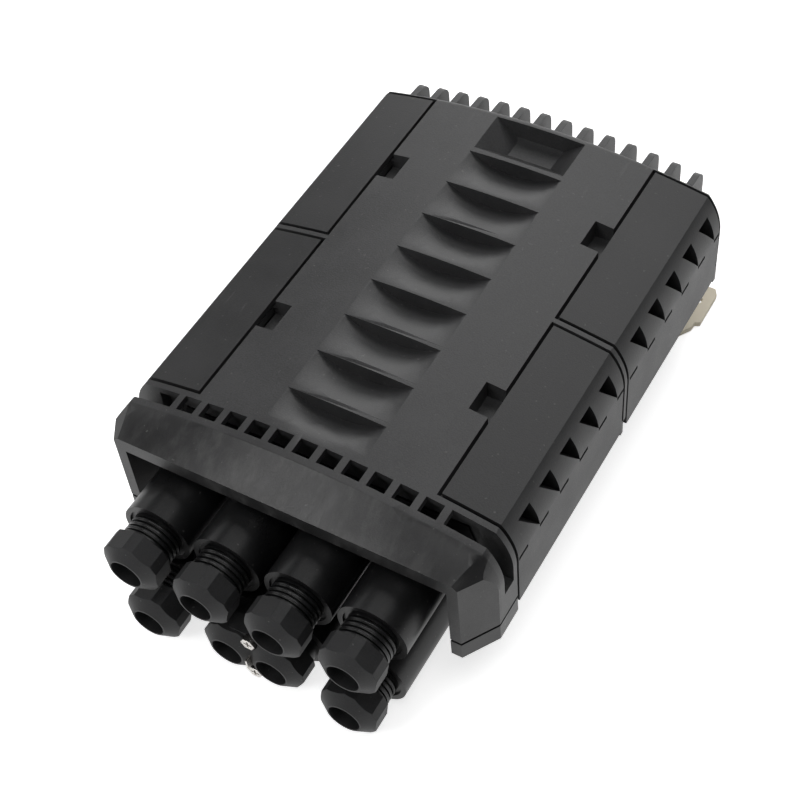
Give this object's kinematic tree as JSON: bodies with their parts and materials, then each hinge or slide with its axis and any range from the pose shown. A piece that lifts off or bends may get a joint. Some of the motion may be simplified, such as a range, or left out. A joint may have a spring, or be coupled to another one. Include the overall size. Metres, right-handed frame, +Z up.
{
  "type": "fibre splice closure",
  "caption": "Flat black fibre splice closure with a crowned louvred cover, swing-out side latches, rear fins and screwed cable glands at one end.",
  "frame": {"origin": "centre of the footprint, on the underside", "axes": "+X across the closure, +Y from the cable glands to the fins, +Z up out of the cover"},
  "size_m": [0.2, 0.324, 0.1016],
  "materials": {
    "housing_plastic": "fine moulded texture",
    "nut_plastic": "smooth matte nylon",
    "rubber": "soft black rubber",
    "plate_paint": "cream paint",
    "steel": "bright stainless steel",
    "tray_plastic": "pale grey moulding",
    "lid_plastic": "clear lid",
    "strap_fabric": "woven hook-and-loop"
  },
  "bodies": {
    "closure": {"base_shell": "housing_plastic", "cover_shell": "housing_plastic", "hinge_pin_right_front": "steel", "hinge_pin_right_rear": "steel", "hinge_pin_left_front": "steel", "hinge_pin_left_rear": "steel", "cover_gasket": "rubber", "mounting_plate": "plate_paint", "oval_gland_cap": "nut_plastic", "oval_gland_seal": "rubber", "oval_clamp_strip": "steel", "oval_screw_upper": "steel", "oval_screw_lower": "steel", "plate_screw_left": "steel", "plate_screw_right": "steel", "clamp_rail": "steel", "rail_screw_left": "steel", "rail_screw_right": "steel", "carrier_screw_1": "steel", "cable_clamp_1": "steel", "clamp_screw_1": "steel", "carrier_screw_2": "steel", "cable_clamp_2": "steel", "clamp_screw_2": "steel", "carrier_screw_3": "steel", "cable_clamp_3": "steel", "clamp_screw_3": "steel", "carrier_screw_4": "steel", "cable_clamp_4": "steel", "clamp_screw_4": "steel", "tray_carrier": "tray_plastic", "splice_tray_1": "tray_plastic", "splice_tray_2": "tray_plastic", "splice_tray_3": "tray_plastic", "tray_lid": "lid_plastic", "tray_strap": "strap_fabric"},
    "latch_right_front": {"latch_right_front": "housing_plastic"},
    "latch_right_rear": {"latch_right_rear": "housing_plastic"},
    "latch_left_front": {"latch_left_front": "housing_plastic"},
    "latch_left_rear": {"latch_left_rear": "housing_plastic"},
    "seal_1": {"gland_seal_1": "rubber"},
    "nut_1": {"gland_nut_1": "nut_plastic"},
    "seal_2": {"gland_seal_2": "rubber"},
    "nut_2": {"gland_nut_2": "nut_plastic"},
    "seal_3": {"gland_seal_3": "rubber"},
    "nut_3": {"gland_nut_3": "nut_plastic"},
    "seal_4": {"gland_seal_4": "rubber"},
    "nut_4": {"gland_nut_4": "nut_plastic"},
    "seal_5": {"gland_seal_5": "rubber"},
    "nut_5": {"gland_nut_5": "nut_plastic"},
    "seal_6": {"gland_seal_6": "rubber"},
    "nut_6": {"gland_nut_6": "nut_plastic"}
  },
  "joints": [
    {"name": "latch_right_front_hinge", "type": "hinge", "parent": "closure", "child": "latch_right_front", "pos_m": [0.0952, -0.0283, 0.0406], "axis": [0, 1, 0], "range_deg": [0, 90]},
    {"name": "latch_right_rear_hinge", "type": "hinge", "parent": "closure", "child": "latch_right_rear", "pos_m": [0.0952, 0.0849, 0.0406], "axis": [0, 1, 0], "range_deg": [0, 90]},
    {"name": "latch_left_front_hinge", "type": "hinge", "parent": "closure", "child": "latch_left_front", "pos_m": [-0.0952, -0.0283, 0.0406], "axis": [0, -1, 0], "range_deg": [0, 90]},
    {"name": "latch_left_rear_hinge", "type": "hinge", "parent": "closure", "child": "latch_left_rear", "pos_m": [-0.0952, 0.0849, 0.0406], "axis": [0, -1, 0], "range_deg": [0, 90]},
    {"name": "gland_1_feed", "type": "slide", "parent": "closure", "child": "seal_1", "axis": [0, -1, 0], "range_m": [0, 0.0053]},
    {"name": "gland_1_turn", "type": "hinge", "parent": "seal_1", "child": "nut_1", "pos_m": [-0.05715, -0.151, 0.0578], "axis": [0, -1, 0], "range_deg": [0, 720]},
    {"name": "gland_2_feed", "type": "slide", "parent": "closure", "child": "seal_2", "axis": [0, -1, 0], "range_m": [0, 0.0053]},
    {"name": "gland_2_turn", "type": "hinge", "parent": "seal_2", "child": "nut_2", "pos_m": [-0.01905, -0.151, 0.0578], "axis": [0, -1, 0], "range_deg": [0, 720]},
    {"name": "gland_3_feed", "type": "slide", "parent": "closure", "child": "seal_3", "axis": [0, -1, 0], "range_m": [0, 0.0053]},
    {"name": "gland_3_turn", "type": "hinge", "parent": "seal_3", "child": "nut_3", "pos_m": [0.01905, -0.151, 0.0578], "axis": [0, -1, 0], "range_deg": [0, 720]},
    {"name": "gland_4_feed", "type": "slide", "parent": "closure", "child": "seal_4", "axis": [0, -1, 0], "range_m": [0, 0.0053]},
    {"name": "gland_4_turn", "type": "hinge", "parent": "seal_4", "child": "nut_4", "pos_m": [0.05715, -0.151, 0.0578], "axis": [0, -1, 0], "range_deg": [0, 720]},
    {"name": "gland_5_feed", "type": "slide", "parent": "closure", "child": "seal_5", "axis": [0, -1, 0], "range_m": [0, 0.0053]},
    {"name": "gland_5_turn", "type": "hinge", "parent": "seal_5", "child": "nut_5", "pos_m": [-0.0534, -0.151, 0.019], "axis": [0, -1, 0], "range_deg": [0, 720]},
    {"name": "gland_6_feed", "type": "slide", "parent": "closure", "child": "seal_6", "axis": [0, -1, 0], "range_m": [0, 0.0053]},
    {"name": "gland_6_turn", "type": "hinge", "parent": "seal_6", "child": "nut_6", "pos_m": [0.0534, -0.151, 0.019], "axis": [0, -1, 0], "range_deg": [0, 720]}
  ],
  "couplings": [
    {"joint": "gland_1_feed", "follows": "gland_1_turn", "m_per_rad": 0.0004138},
    {"joint": "gland_2_feed", "follows": "gland_2_turn", "m_per_rad": 0.0004138},
    {"joint": "gland_3_feed", "follows": "gland_3_turn", "m_per_rad": 0.0004138},
    {"joint": "gland_4_feed", "follows": "gland_4_turn", "m_per_rad": 0.0004138},
    {"joint": "gland_5_feed", "follows": "gland_5_turn", "m_per_rad": 0.0004138},
    {"joint": "gland_6_feed", "follows": "gland_6_turn", "m_per_rad": 0.0004138}
  ]
}
